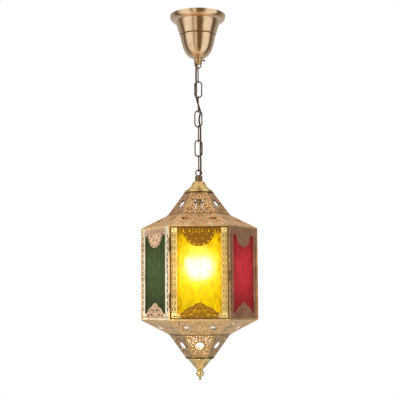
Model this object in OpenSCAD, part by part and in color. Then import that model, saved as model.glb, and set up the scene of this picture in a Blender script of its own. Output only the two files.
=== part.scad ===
// Hexagonal pierced-brass pendant lantern on a chain, with a hinged front door.
// Frame: origin at the ceiling plane under the middle of the mounting strap, +Z up,
// the front door faces -Y. Millimetres.

/* [Body] */
// Distance from the axis to a vertical corner of the hexagonal body
body_r = 125; // [110:1:140]
// Height of the straight hexagonal body
body_h = 194.5; // [170:0.5:220]
// Depth from the ceiling to the body's upper edge
body_drop = 469.5; // [460:0.5:480]

/* [Roof and base] */
// Corner radius where the steep roof tier meets the shallow one
roof_kink_r = 67.5; // [60:0.5:75]
// Height of the shallow roof tier
roof_shallow_h = 28.5; // [24:0.5:34]
// Height of the steep roof tier
roof_steep_h = 47.5; // [40:0.5:50]
// Corner radius at the top of the steep roof tier
roof_top_r = 32.5; // [31:0.5:36]
// Corner radius where the shallow base tier meets the steep one
base_kink_r = 65.5; // [60:0.5:75]
// Height of the shallow base tier
base_shallow_h = 30.3; // [26:0.1:36]
// Height of the steep base tier
base_steep_h = 49.2; // [44:0.1:56]
// Corner radius at the bottom of the steep base tier
base_end_r = 30; // [29:0.5:36]

/* [Canopy] */
// Radius of the canopy's rim at the ceiling
canopy_r = 60.9; // [58:0.1:70]
// Height of the canopy bell
canopy_h = 97; // [90:1:100]

/* [Chain] */
// Number of chain links
link_count = 7; // [7:1:7]
// Depth of the canopy eye's lowest wire, where the first link hangs
chain_top = 118; // [117:0.5:119]
// Distance from one link to the next
link_pitch = 32.5; // [32:0.1:33]
// Outer width of a link
link_w = 18; // [17:0.5:20]
// Thickness of the link wire
wire_d = 2.8; // [2.4:0.1:3]

/* [Sheet and glass] */
// Thickness of the pierced brass sheet
sheet_t = 1; // [0.8:0.1:1.2]
// Thickness of the glass panes
glass_t = 3; // [2:0.5:3]
// Thickness of posts and rails
frame_t = 1.2; // [1:0.1:1.4]

/* [Window] */
// Half width of the glass opening in a pierced panel
window_half = 45.5; // [42:0.5:48]
// Height of the solid band under the window
window_low = 13; // [11:0.5:15]
// Height of the window's shoulders above the body's lower edge
window_high = 178; // [170:0.5:180]
// Radius of the half-round ornament that hangs from the top band
fan_r = 32; // [26:0.5:34]
// Height of the arched ornament's tip above the body's lower edge
arch_tip = 36; // [30:0.5:42]

/* [Bulb] */
// Radius of the bulb's globe
bulb_r = 30; // [25:0.5:32]

/* [Cord] */
// Radius of the supply cord
cord_r = 1.9; // [1.5:0.1:1.9]

/* [Hidden] */
$fn = 48;
LINKS = [for (k = [1:link_count]) str("chain_link_", k)];
// Fixed sides in order round the body: name, and the side's angle from the front door
SIDE_NAMES = ["right_front", "right_back", "back", "left_back", "left_front"];

// Colours
antique_brass = "#b08a5c";
gold_brass = "#c79a45";
pale_brass = "#d9b57a";
dark_bronze = "#4a3524";
steel = "#9aa0a6";
amber = "#f5c400";
green = "#1d5a2a";
red = "#b01f2a";
cord_brown = "#3b281b";
GLASS_TINTS = [red, amber, green, red, green];

// Heights of the lantern, measured down from the ceiling
body_top = -body_drop;
body_bottom = body_top - body_h;
roof_kink = body_top + roof_shallow_h;
roof_end = roof_kink + roof_steep_h;
base_kink = body_bottom - base_shallow_h;
base_end = base_kink - base_steep_h;
apothem = body_r * cos(30);

// Rails and posts
edge_gap = 1;
rail_h = 1.6;
post_flange = 2.2;
panel_out = apothem - frame_t;
panel_in = panel_out - sheet_t;
panel_half = 61;
panel_foot = edge_gap + 0.5;
glass_half = 57;
glass_edge = 4;

// Wire loops
link_gap = 0.3;
link_mid_r = (link_w - wire_d) / 2;
link_straight = link_pitch + link_gap + wire_d - 2 * link_mid_r;
chain_end = -chain_top - link_count * link_pitch;
eye_mid_r = 6.4;

// Canopy fittings
thread_r = 5;
thread_bore_r = 3.8;
thread_hole_r = 5.05;
strap_half = 52;
strap_w = 20;
strap_t = 2;
strap_hole_x = 40;
strap_hole_r = 2.25;
yoke_web_z = -46;
yoke_half = 15;
nipple_top = -40;
nipple_end = -100.5;
nut_flats = 14;
nut_h = 4;
cord_hole_r = 2.15;
cord_hole_x = 2.7;
cord_hole_y = 3.7;
cavity_r = 6.9;
collar_r = 8.6;
collar_end = -109.4;
cavity_end = -106;
screw_z = -100.2;
block_h = 11;

// Hanging loop and stem
boss_top = -355.5;
boss_end = -377;
boss_r = 8;
stem_top = -366;
stem_end = -455;
cap_top = -367.4;
cap_h = 24;
cap_lip_r = 30.6;
plate_top = cap_top - cap_h;
plate_t = 1.5;

// Bottom fittings
stud_r = 2;
stud_hole_r = 2.1;
cone_h = 23;
cone_r = 28.7;

// Lamp
holder_top = -452;
holder_end = -504;
holder_r = 20;
holder_in_r = 18;
insulator_top = -461;
shell_top = -466;
shell_end = -500;
shell_r = 13.6;
bulb_tip = -470;
bulb_cap_end = -496;
bulb_cap_r = 13.2;
bulb_mid = -549;

// Door
door_half = 59.7;
door_bar = 2.5;
door_front = apothem + 0.35;
door_bar_back = apothem - 1.95;
door_top = body_top - edge_gap - rail_h - 0.5;
door_bottom = body_bottom + edge_gap + rail_h + 0.5;
door_glass_half = 56.5;

// Cord: from the terminal block through the nipple and the collar
CANOPY_ROUTE = [[0, 0, -13.2], [0, 0, -18], [2.5, 0, -27], [1, 0, -37], [0, 0, -48], [0, 0, -72], [0, 0, -96],
                [-1, 1.4, -101], [-2.7, 3.7, -106], [-2.7, 3.7, -109.6], [-3.8, 4, -113], [-4.2, 4, -116.5]];
// Its x and y at each hanging point and each link's middle, from the top
CHAIN_WEAVE = [[-4.2, 4], [-4.6, 3.6], [-4.3, 4.1], [-4, 0], [-4.2, -4.2], [0, -4], [4.2, -4.2],
               [1.6, 0], [4.2, 4.2], [4.6, 3.6], [4.3, 4.2], [4, 0], [4.2, -4.2], [4.6, -3.8], [4, -4.2]];
// From the last link through the boss and down the stem to the lamp holder
LANTERN_ROUTE = [[4, -4.2, -347], [3.6, -4, -351], [2.7, -3.7, -354.4], [2.7, -3.7, -358], [1, -1.4, -362.5],
                 [0, 0, -370], [0, 0, -400], [0, 0, -430], [0, 0, -461]];
cord_break = 1.5;

// Hinge and latch
hinge_x = -60.4;
hinge_y = -(apothem + 2.25);
barrel_r = 1.6;
pin_r = 0.8;
pin_hole_r = 0.86;
knuckle_l = 12;
post_knuckle_l = 8;
knuckle_gap = 0.4;
latch_x = 61.9;
latch_z = body_bottom + 81.7;
latch_back = apothem + 0.65;
latch_t = 1.2;
stud_x = 56;

// Points along a round arc in the plane
function arc_points(c, r, a0, a1, n) = [for (i = [0:n]) let (a = a0 + (a1 - a0) * i / n) c + r * [cos(a), sin(a)]];

// Points along a cubic curve with two handles
function curve_points(a, b, c, d, n) =
    [for (i = [0:n]) let (t = i / n, s = 1 - t) s*s*s*a + 3*s*s*t*b + 3*s*t*t*c + t*t*t*d];

function unit(v) = v / norm(v);
function right_normal(a, b) = let (d = unit(b - a)) [d[1], -d[0]];
function corner_normal(p, i) =
    unit((i > 0 ? right_normal(p[i - 1], p[i]) : [0, 0])
       + (i < len(p) - 1 ? right_normal(p[i], p[i + 1]) : [0, 0]));

// Closed outline of a turned sheet of thickness t that follows an outer line from its top down
function sheet_outline(p, t) = concat(p, [for (i = [len(p) - 1:-1:0])
    let (inner = p[i] + t * corner_normal(p, i)) [max(inner[0], 0), inner[1]]]);

// A smooth route through hand-set points
function route_point(a, b, c, d, t) =
    0.5 * (2*b + (c - a)*t + (2*a - 5*b + 4*c - d)*t*t + (3*b - a - 3*c + d)*t*t*t);
function route(p, n) = concat(
    [for (i = [0:len(p) - 2]) for (k = [0:n - 1])
        route_point(p[max(i - 1, 0)], p[i], p[i + 1], p[min(i + 2, len(p) - 1)], k / n)],
    [p[len(p) - 1]]);

// A round tube swept along a route that never runs along Y
module tube(path, r, sides = 8) {
    last = len(path) - 1;
    rings = [for (i = [0:last])
        let (t = unit(path[min(i + 1, last)] - path[max(i - 1, 0)]),
             u = unit(cross(t, [0, 1, 0])),
             v = cross(t, u))
        for (k = [0:sides - 1]) path[i] + r * (cos(360 * k / sides) * u + sin(360 * k / sides) * v)];
    walls = [for (i = [0:last - 1]) for (k = [0:sides - 1])
        let (j = (k + 1) % sides)
        [i * sides + k, i * sides + j, (i + 1) * sides + j, (i + 1) * sides + k]];
    ends = [[for (k = [sides - 1:-1:0]) k], [for (k = [0:sides - 1]) last * sides + k]];
    polyhedron(points = rings, faces = concat(walls, ends), convexity = 8);
}

// Places a child on a side of the hexagon: x along the side, y outwards, z up
module on_side(i) {
    rotate([0, 0, 180 + 60 * i]) children();
}

// A round rod or hole along Y, from y0 to y1
module rod_y(r, y0, y1) {
    translate([0, y0, 0]) rotate([-90, 0, 0]) cylinder(h = y1 - y0, r = r);
}

module hex_nut(z_top) {
    translate([0, 0, z_top - nut_h]) difference() {
        cylinder(h = nut_h, r = nut_flats / 2 / cos(30), $fn = 6);
        translate([0, 0, -1]) cylinder(h = nut_h + 2, r = thread_hole_r);
    }
}

// ---- Ceiling fixture ----

module mounting_strap() {
    color(steel) difference() {
        translate([-strap_half, -strap_w / 2, -strap_t]) cube([2 * strap_half, strap_w, strap_t]);
        for (x = [-strap_hole_x, strap_hole_x])
            translate([x, 0, -strap_t - 1]) cylinder(h = strap_t + 2, r = strap_hole_r);
    }
}

module nipple_yoke() {
    leg_h = -strap_t - yoke_web_z;
    yoke_w = 16;
    color(steel) difference() {
        union() {
            for (x = [-yoke_half, yoke_half - strap_t])
                translate([x, -yoke_w / 2, yoke_web_z]) cube([strap_t, yoke_w, leg_h]);
            translate([-yoke_half, -yoke_w / 2, yoke_web_z - strap_t]) cube([2 * yoke_half, yoke_w, strap_t]);
        }
        translate([0, 0, yoke_web_z - strap_t - 1]) cylinder(h = strap_t + 2, r = thread_hole_r);
    }
}

module terminal_block() {
    color("white") difference() {
        translate([-9, -6, -strap_t - block_h]) cube([18, 12, block_h]);
        // the two clamp screws' recesses
        for (x = [-4.5, 4.5])
            translate([x, -7, -strap_t - block_h / 2]) rod_y(1.6, 0, 3);
    }
}

module canopy_nipple() {
    color(gold_brass) translate([0, 0, nipple_end]) difference() {
        cylinder(h = nipple_top - nipple_end, r = thread_r);
        translate([0, 0, -1]) cylinder(h = nipple_top - nipple_end + 2, r = thread_bore_r);
    }
}

module nipple_nuts() {
    color(steel) {
        hex_nut(yoke_web_z - strap_t);
        hex_nut(sheet_t - canopy_h + nut_h);
    }
}

module ceiling_canopy() {
    seam_r = 38.6;
    flare_in = canopy_r - 12.4;
    rim = [[canopy_r, 0]];
    flare = arc_points([flare_in, -2], 12.4, 0, -84, 8);
    wall = [[47.6, -18.5], [39.6, -43.2], [seam_r - 0.3, -44.2]];
    bowl = curve_points([seam_r, -45.4], [35, -68.8], [29.4, -91.9], [9, -canopy_h], 12);
    outer = concat(rim, flare, wall, bowl, [[thread_hole_r, -canopy_h]]);
    color(antique_brass) rotate_extrude($fn = 96) polygon(sheet_outline(outer, sheet_t));
}

module canopy_loop() {
    collar_top = -canopy_h;
    bead_r = 9.1;
    collar = [[thread_hole_r, collar_top], [collar_r, collar_top], [collar_r, collar_top - 7],
              [7.9, collar_top - 8.2], [bead_r, collar_top - 9.4], [bead_r, collar_top - 10.4],
              [7.9, collar_top - 11.6], [7.4, collar_end], [0, collar_end],
              [0, cavity_end], [cavity_r, cavity_end], [cavity_r, nipple_end], [thread_hole_r, nipple_end]];
    color(antique_brass) difference() {
        union() {
            rotate_extrude() polygon(collar);
            translate([0, 0, eye_mid_r - chain_top]) rotate([90, 0, 0]) difference() {
                rotate_extrude() translate([eye_mid_r, 0]) circle(r = wire_d / 2);
                // the eye's upper arc stops at the collar
                translate([-20, chain_top - eye_mid_r + collar_end + 1.4, -5]) cube([40, 20, 10]);
            }
        }
        translate([-cord_hole_x, cord_hole_y, collar_end - 1]) cylinder(h = 6, r = cord_hole_r);
        translate([0, 0, screw_z]) rotate([0, 90, 0]) cylinder(h = 12, r = 1.5);
    }
}

module lock_screw() {
    color(dark_bronze) translate([thread_r, 0, screw_z]) rotate([0, 90, 0]) union() {
        cylinder(h = 7, r = 1.45);
        translate([0, 0, 7]) cylinder(h = 3, r = 2.6);
    }
}

module canopy_cord() {
    color(cord_brown) tube(route(CANOPY_ROUTE, 2), cord_r);
}

// ---- Chain ----

module half_ring(up) {
    rotate([90, 0, 0]) rotate([0, 0, up ? 0 : 180]) rotate_extrude(angle = 180)
        translate([link_mid_r, 0]) circle(r = wire_d / 2, $fn = 32);
}

module chain_link(k) {
    bottom = -chain_top - k * link_pitch;
    middle = bottom + link_straight / 2 + link_mid_r;
    color(dark_bronze) translate([0, 0, middle]) rotate([0, 0, k % 2 == 1 ? 90 : 0]) {
        translate([0, 0, link_straight / 2]) half_ring(true);
        translate([0, 0, -link_straight / 2]) half_ring(false);
        for (x = [-link_mid_r, link_mid_r])
            translate([x, 0, -link_straight / 2]) cylinder(h = link_straight, r = wire_d / 2, $fn = 32);
    }
}

module chain_cord() {
    last = len(CHAIN_WEAVE) - 1;
    points = [for (i = [0:last])
        let (z = -chain_top - i * link_pitch / 2,
             trim = i == 0 ? -cord_break : i == last ? cord_break : 0)
        [CHAIN_WEAVE[i][0], CHAIN_WEAVE[i][1], z + trim]];
    color(cord_brown) tube(route(points, 2), cord_r);
}

// ---- Lantern, top ----

module hanging_loop() {
    boss = [[0, boss_top], [7.2, boss_top], [boss_r, boss_top - 0.8], [boss_r, boss_end],
            [thread_hole_r, boss_end], [thread_hole_r, stem_top - 1], [cavity_r, stem_top - 1],
            [cavity_r, boss_top - 1.7], [0, boss_top - 1.7]];
    eye_z = chain_end + wire_d + link_gap - eye_mid_r;
    color(dark_bronze) difference() {
        union() {
            rotate_extrude() polygon(boss);
            translate([0, 0, eye_z]) rotate([90, 0, 0]) difference() {
                rotate_extrude() translate([eye_mid_r, 0]) circle(r = wire_d / 2);
                // the eye's lowest arc stops inside the boss's top wall
                translate([-20, boss_top - 1.5 - eye_z - 20, -5]) cube([40, 20, 10]);
            }
        }
        translate([cord_hole_x, -cord_hole_y, boss_top - 3]) cylinder(h = 6, r = cord_hole_r);
    }
}

module stem_tube() {
    color(gold_brass) translate([0, 0, stem_end]) difference() {
        cylinder(h = stem_top - stem_end, r = thread_r);
        translate([0, 0, -1]) cylinder(h = stem_top - stem_end + 2, r = thread_bore_r);
    }
}

module stem_nuts() {
    color(steel) {
        hex_nut(plate_top - plate_t);
        hex_nut(holder_top + nut_h);
    }
}

module cap_cone() {
    shoulder = arc_points([8.4, -6.4], 6.2, 90, 20, 5);
    slope = curve_points([14.6, -5.4], [17, -10.5], [21, -15.5], [27.4, -18.8], 6);
    lip = [[30, -20.4], [cap_lip_r, -cap_h + 1], [cap_lip_r, -cap_h]];
    outer = concat([[boss_r + 0.1, -0.2]], shoulder, slope, lip);
    color(gold_brass) translate([0, 0, cap_top])
        rotate_extrude($fn = 96) polygon(sheet_outline(outer, sheet_t));
}

module top_plate() {
    color(gold_brass) translate([0, 0, plate_top - plate_t]) difference() {
        cylinder(h = plate_t, r = 31.5, $fn = 6);
        translate([0, 0, -1]) cylinder(h = plate_t + 2, r = thread_hole_r);
    }
}

// ---- Pierced sheets ----

// Stands a flat sheet on a side between a lower and an upper edge; thickness goes inwards
module between_edges(low_r, low_z, up_r, up_z) {
    run = (up_r - low_r) * cos(30);
    translate([0, low_r * cos(30), low_z]) rotate([atan2(up_z - low_z, run), 0, 0])
        linear_extrude(sheet_t) children();
}

function slope_length(r1, z1, r2, z2) = norm([(r1 - r2) * cos(30), z1 - z2]);

// Outline of one tier's sheet, from its lower edge (y = 0) to its upper edge
module tier_outline(low_r, up_r, length) {
    seam = 0.7;
    polygon([[seam - low_r / 2, 0], [low_r / 2 - seam, 0], [up_r / 2 - seam, length], [seam - up_r / 2, length]]);
}

// Sunburst: a round eye, a ring of twelve petals and a row of holes by the wide edge
module sunburst_holes(mid_y, wide_y) {
    translate([0, mid_y]) {
        circle(r = 9.3);
        for (a = [0:30:330]) rotate(a) translate([13.4, 0]) circle(r = 1.7);
    }
    for (x = [-20:8:20]) translate([x, wide_y]) circle(r = 1.5);
}

// Lace: two round windows and rows of small holes
module lace_holes(mid_y, wide_y, narrow_y) {
    for (x = [-28, 28]) translate([x, mid_y]) circle(r = 8);
    for (x = [-12:6:12]) translate([x, mid_y]) circle(r = 1.8);
    for (x = [-49:7:49]) translate([x, wide_y]) circle(r = 1.5);
    for (x = [-24:8:24]) translate([x, narrow_y]) circle(r = 1.5);
}

module roof_steep_panels() {
    length = slope_length(roof_kink_r, roof_kink, roof_top_r, roof_end);
    color(pale_brass) for (i = [0:5]) on_side(i)
        between_edges(roof_kink_r, roof_kink, roof_top_r, roof_end) difference() {
            tier_outline(roof_kink_r, roof_top_r, length);
            sunburst_holes(length * 0.5, 5);
        }
}

module roof_shallow_panels() {
    length = slope_length(body_r, body_top, roof_kink_r, roof_kink);
    color(pale_brass) for (i = [0:5]) on_side(i)
        between_edges(body_r, body_top, roof_kink_r, roof_kink) difference() {
            tier_outline(body_r, roof_kink_r, length);
            lace_holes(length * 0.48, 7, length - 6);
        }
}

module base_shallow_panels() {
    length = slope_length(base_kink_r, base_kink, body_r, body_bottom);
    color(pale_brass) for (i = [0:5]) on_side(i)
        between_edges(base_kink_r, base_kink, body_r, body_bottom) difference() {
            tier_outline(base_kink_r, body_r, length);
            lace_holes(length * 0.48, length - 7, 6);
        }
}

module base_steep_panels() {
    length = slope_length(base_end_r, base_end, base_kink_r, base_kink);
    color(pale_brass) for (i = [0:5]) on_side(i)
        between_edges(base_end_r, base_end, base_kink_r, base_kink) difference() {
            tier_outline(base_end_r, base_kink_r, length);
            sunburst_holes(length * 0.48, length - 5);
        }
}

// The window's outline: a rectangle cut into by the fan above and the arch below
module window() {
    difference() {
        translate([-window_half, window_low]) square([2 * window_half, window_high - window_low]);
        translate([0, window_high + 4.8]) circle(r = fan_r);
        translate([0, arch_tip - 14]) circle(r = 14);
        polygon([[-37, window_low], [-18, 25], [18, 25], [37, window_low]]);
    }
}

module window_holes() {
    for (side = [-1, 1]) for (y = [16:12:178]) translate([side * 51.3, y]) circle(r = 1.7);
    translate([0, window_high + 4.8]) for (a = [200:14:340]) rotate(a) translate([fan_r - 4.5, 0]) circle(r = 1.6);
    for (x = [-6.5, 6.5]) translate([x, 162]) circle(r = 1.4);
    for (x = [-36:12:36]) translate([x, 186]) circle(r = 1.8);
    translate([0, 29]) circle(r = 1.8);
    for (side = [-1, 1]) {
        translate([side * 7, 22]) circle(r = 1.8);
        translate([side * 15, 18]) circle(r = 1.8);
        translate([side * 24, 15]) circle(r = 1.6);
    }
}

// A pierced panel in the side's own plane, y up from the body's lower edge
module pierced_panel(half_w, low, high) {
    linear_extrude(sheet_t) difference() {
        translate([-half_w, low]) square([2 * half_w, high - low]);
        window();
        window_holes();
    }
}

module fret_panel(i) {
    color(pale_brass) on_side(i) translate([0, panel_out, body_bottom]) rotate([90, 0, 0])
        pierced_panel(panel_half, panel_foot, body_h - panel_foot);
}

module glass_pane(i, tint) {
    color(tint) on_side(i) translate([-glass_half, panel_in - glass_t, body_bottom + glass_edge])
        cube([2 * glass_half, glass_t, body_h - 2 * glass_edge]);
}

// A bent tab beside the pane: a leg past the glass edge and a foot behind it
module glass_clip(half_w, glass_front) {
    tab_t = 0.5;
    tab_h = 6;
    reach = 5;
    back = glass_front - glass_t - tab_t;
    translate([half_w, back, 0]) cube([tab_t, glass_t + tab_t, tab_h]);
    translate([half_w - reach, back, 0]) cube([reach + tab_t, tab_t, tab_h]);
}

module clip_set(half_w, glass_front) {
    for (z = [body_bottom + 45, body_top - 50]) for (side = [0, 1])
        translate([0, 0, z]) mirror([side, 0, 0]) glass_clip(half_w, glass_front);
}

module glass_clips() {
    color(gold_brass) for (i = [1:5]) on_side(i) clip_set(glass_half, panel_in);
}

// ---- Body frame ----

module rail_ring(z_low) {
    rail_half = body_r / 2 - post_flange - 0.02;
    for (i = [0:5]) on_side(i)
        translate([-rail_half, apothem - frame_t, z_low]) cube([2 * rail_half, frame_t, rail_h]);
}

module top_rails() {
    color(gold_brass) rail_ring(body_top - edge_gap - rail_h);
}

module bottom_rails() {
    color(gold_brass) rail_ring(body_bottom + edge_gap);
}

module corner_posts() {
    along = [cos(120), sin(120)];
    inwards = [cos(210), sin(210)];
    tip = [body_r, 0];
    inner_tip = [body_r - frame_t / cos(30), 0];
    upper = [tip + post_flange * along, tip + post_flange * along + frame_t * inwards];
    lower = [for (p = upper) [p[0], -p[1]]];
    color(gold_brass) for (a = [0:60:300]) rotate([0, 0, a])
        translate([0, 0, body_bottom + edge_gap]) linear_extrude(body_h - 2 * edge_gap)
            polygon([tip, upper[0], upper[1], inner_tip, lower[1], lower[0]]);
}

// ---- Lamp ----

module lamp_holder() {
    color("ivory") rotate_extrude() polygon([
        [thread_hole_r, holder_top], [14, holder_top], [holder_r, holder_top - 6],
        [holder_r, holder_end], [holder_in_r, holder_end], [holder_in_r, holder_top - 7],
        [13, holder_top - 2], [thread_hole_r, holder_top - 2]]);
}

module lamp_insulator() {
    color("white") rotate_extrude() polygon([
        [0, insulator_top], [holder_in_r - 0.1, insulator_top], [holder_in_r - 0.1, shell_top],
        [3, shell_top], [3, bulb_tip + 0.2], [0, bulb_tip + 0.2]]);
}

module lamp_screw_shell() {
    color(gold_brass) translate([0, 0, shell_end]) difference() {
        cylinder(h = shell_top - shell_end, r = shell_r + 0.6);
        translate([0, 0, -1]) cylinder(h = shell_top - shell_end + 2, r = shell_r);
    }
}

module lantern_cord() {
    color(cord_brown) tube(route(LANTERN_ROUTE, 2), cord_r);
}

module bulb_glass() {
    neck = curve_points([12.6, bulb_cap_end], [13.6, -516], [bulb_r, -524], [bulb_r, bulb_mid], 8);
    globe = arc_points([0, bulb_mid], bulb_r, -11.25, -90, 7);
    color("white") rotate_extrude() polygon(sheet_outline(concat(neck, globe), 0.8));
}

module bulb_cap() {
    color(steel) rotate_extrude() polygon([
        [0, bulb_tip], [3.6, bulb_tip], [5, bulb_tip - 2.5], [9.5, bulb_tip - 4],
        [bulb_cap_r, bulb_tip - 6], [bulb_cap_r, bulb_cap_end], [0, bulb_cap_end]]);
}

// ---- Lantern, bottom ----

module bottom_plate() {
    color(gold_brass) translate([0, 0, base_end - plate_t]) difference() {
        cylinder(h = plate_t, r = base_end_r, $fn = 6);
        translate([0, 0, -1]) cylinder(h = plate_t + 2, r = stud_hole_r);
    }
}

module bottom_cone() {
    side = curve_points([cone_r, -0.8], [18.4, -5.8], [15.3, -16.9], [6.4, -cone_h], 9);
    outer = concat([[cone_r, 0]], side, [[stud_hole_r, -cone_h]]);
    color(gold_brass) translate([0, 0, base_end - plate_t])
        rotate_extrude($fn = 96) polygon(sheet_outline(outer, sheet_t));
}

module finial_ball() {
    seat = base_end - plate_t - cone_h;
    ball_mid = seat - 7.9;
    bead_mid = seat - 20.2;
    ball = arc_points([0, ball_mid], 8.6, 64, -74, 12);
    bead = arc_points([0, bead_mid], 2.9, 50, -90, 6);
    color(gold_brass) rotate_extrude() polygon(concat(
        [[0, base_end + 6], [stud_r, base_end + 6], [stud_r, seat], [3.77, seat]], ball, bead));
}

module finial_nut() {
    color(steel) translate([0, 0, base_end]) difference() {
        cylinder(h = 3.2, r = 7 / 2 / cos(30), $fn = 6);
        translate([0, 0, -1]) cylinder(h = 6, r = stud_hole_r);
    }
}

// ---- Door, hinge and latch ----

module door_frame() {
    bar_y = -door_front;
    bar_t = door_front - door_bar_back;
    tall = door_top - door_bottom;
    wide = 2 * (door_half - door_bar) - 0.1;
    color(pale_brass) {
        for (x = [-door_half, door_half - door_bar])
            translate([x, bar_y, door_bottom]) cube([door_bar, bar_t, tall]);
        for (z = [door_bottom, door_top - door_bar])
            translate([-wide / 2, bar_y, z]) cube([wide, bar_t, door_bar]);
    }
}

module door_fret_panel() {
    foot = door_bottom - body_bottom + 0.3;
    color(pale_brass) translate([0, -door_bar_back, body_bottom]) rotate([90, 0, 0])
        translate([0, 0, -sheet_t]) pierced_panel(door_half - 0.7, foot, body_h - foot);
}

module door_glass() {
    margin = 8;
    color(amber) translate([-door_glass_half, sheet_t - door_bar_back, body_bottom + margin])
        cube([2 * door_glass_half, glass_t, body_h - 2 * margin]);
}

module door_glass_clips() {
    color(gold_brass) on_side(0) clip_set(door_glass_half, door_bar_back - sheet_t);
}

HINGE_HEIGHTS = [body_bottom + 40, body_top - 40];

module barrel(z_low, length) {
    translate([hinge_x, hinge_y, z_low]) cylinder(h = length, r = barrel_r, $fn = 32);
}

module pin_hole(z_low, length) {
    translate([hinge_x, hinge_y, z_low - 1]) cylinder(h = length + 2, r = pin_hole_r, $fn = 32);
}

module door_knuckles() {
    color(pale_brass) for (z = HINGE_HEIGHTS) difference() {
        union() {
            barrel(z - knuckle_l / 2, knuckle_l);
            translate([hinge_x, -door_front - 1, z - knuckle_l / 2]) cube([3, 1, knuckle_l]);
        }
        pin_hole(z - knuckle_l / 2, knuckle_l);
    }
}

module post_knuckles() {
    half = knuckle_l / 2 + knuckle_gap;
    color(gold_brass) for (z = HINGE_HEIGHTS) for (low = [z - half - post_knuckle_l, z + half]) difference() {
        union() {
            barrel(low, post_knuckle_l);
            translate([hinge_x - 2, -apothem - 1.2, low]) cube([2, 1.2, post_knuckle_l]);
        }
        pin_hole(low, post_knuckle_l);
    }
}

module hinge_pins() {
    half = knuckle_l / 2 + knuckle_gap + post_knuckle_l;
    color(steel) for (z = HINGE_HEIGHTS) translate([hinge_x, hinge_y, z - half - 0.5]) {
        cylinder(h = 2 * half + 0.5, r = pin_r, $fn = 32);
        translate([0, 0, 2 * half + 0.5]) cylinder(h = 0.8, r = 1.3, $fn = 32);
    }
}

module latch_screw() {
    color(dark_bronze) translate([latch_x, 0, latch_z]) union() {
        rod_y(1, -apothem - 0.5, -apothem);
        rod_y(0.8, -latch_back - latch_t - 0.1, -apothem - 0.4);
        rod_y(1.9, -latch_back - latch_t - 0.9, -latch_back - latch_t - 0.1);
    }
}

module latch_stud() {
    color(dark_bronze) translate([stud_x, 0, latch_z])
        rod_y(0.9, -latch_back - latch_t - 0.8, -door_bar_back);
}

module latch_hook() {
    reach = latch_x - stud_x;
    color(dark_bronze) translate([latch_x, -latch_back, latch_z]) rotate([90, 0, 0])
        linear_extrude(latch_t) difference() {
            union() {
                circle(r = 1.6);
                translate([-1.6, 0]) square([3.4, 17]);
                translate([0.1, 17]) circle(r = 1.7);
                translate([0.9, reach]) circle(r = 2.5);
            }
            circle(r = pin_hole_r);
            translate([0, reach]) circle(r = 1.2);
            translate([-4, reach - 1.2]) square([4, 2.4]);
        }
}

mounting_strap();
nipple_yoke();
terminal_block();
canopy_nipple();
nipple_nuts();
ceiling_canopy();
canopy_loop();
lock_screw();
canopy_cord();
for (k = [1:link_count]) chain_link(k);
chain_cord();
hanging_loop();
stem_tube();
stem_nuts();
cap_cone();
top_plate();
roof_steep_panels();
roof_shallow_panels();
top_rails();
corner_posts();
bottom_rails();
for (i = [1:5]) fret_panel(i);
for (i = [1:5]) glass_pane(i, GLASS_TINTS[i - 1]);
glass_clips();
lamp_holder();
lamp_insulator();
lamp_screw_shell();
lantern_cord();
base_shallow_panels();
base_steep_panels();
bottom_plate();
bottom_cone();
finial_ball();
finial_nut();
post_knuckles();
hinge_pins();
latch_screw();
door_frame();
door_fret_panel();
door_glass();
door_glass_clips();
door_knuckles();
latch_stud();
latch_hook();
bulb_glass();
bulb_cap();
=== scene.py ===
"""Hexagonal pierced-brass pendant lantern: looks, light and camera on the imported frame.

Lengths that are written as plain numbers are in millimetres and go through MM.
"""
import math

import bpy
from mathutils import Matrix, Vector, noise


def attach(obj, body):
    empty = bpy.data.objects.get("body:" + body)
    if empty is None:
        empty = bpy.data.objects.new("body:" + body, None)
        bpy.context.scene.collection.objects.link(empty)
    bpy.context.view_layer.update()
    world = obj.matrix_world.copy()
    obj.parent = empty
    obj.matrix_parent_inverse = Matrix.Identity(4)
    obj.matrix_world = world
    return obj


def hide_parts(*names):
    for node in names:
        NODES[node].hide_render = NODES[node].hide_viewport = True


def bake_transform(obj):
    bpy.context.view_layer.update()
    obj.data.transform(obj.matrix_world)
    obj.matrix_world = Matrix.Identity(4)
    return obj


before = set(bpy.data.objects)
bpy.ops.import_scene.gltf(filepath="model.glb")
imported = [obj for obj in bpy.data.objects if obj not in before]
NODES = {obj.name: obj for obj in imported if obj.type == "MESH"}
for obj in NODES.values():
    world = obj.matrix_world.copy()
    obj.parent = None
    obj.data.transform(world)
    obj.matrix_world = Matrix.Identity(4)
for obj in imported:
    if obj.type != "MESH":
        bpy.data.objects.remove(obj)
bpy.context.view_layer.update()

MM = 0.001
COS30 = math.cos(math.radians(30))

# Driving dimensions of the lantern, as in the CAD model
BODY_R = 125.0
BODY_TOP = -469.5
BODY_BOTTOM = -664.0
ROOF_KINK = (67.5, -441.0)
ROOF_END = (32.5, -393.5)
BASE_KINK = (65.5, -694.3)
BASE_END = (30.0, -743.5)
APOTHEM = BODY_R * COS30
BODY_H = BODY_TOP - BODY_BOTTOM

# Sheets and panes: thickness, half width, and gap to the body's lower and upper edges
SHEET = 1.0
PANEL_OUT = APOTHEM - 1.2
PANEL_HALF = 61.0
PANEL_GAP = 1.5
DOOR_PANEL_OUT = APOTHEM - 1.95
DOOR_PANEL_HALF = 59.0
DOOR_PANEL_GAP = 3.4
GLASS = 3.0
PANE_HALF = 57.0
PANE_GAP = 4.0
DOOR_PANE_HALF = 56.5
DOOR_PANE_GAP = 8.0

# Window and ornaments of a wall panel, measured up from the body's lower edge
WINDOW_HALF = 45.5
WINDOW_LOW = 13.0
WINDOW_HIGH = 178.0
STILE_X = 51.9
FAN_Y = 182.8
FAN_R = 32.0
DOME_TIP = 36.0
DOME_HALF = 39.5
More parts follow.
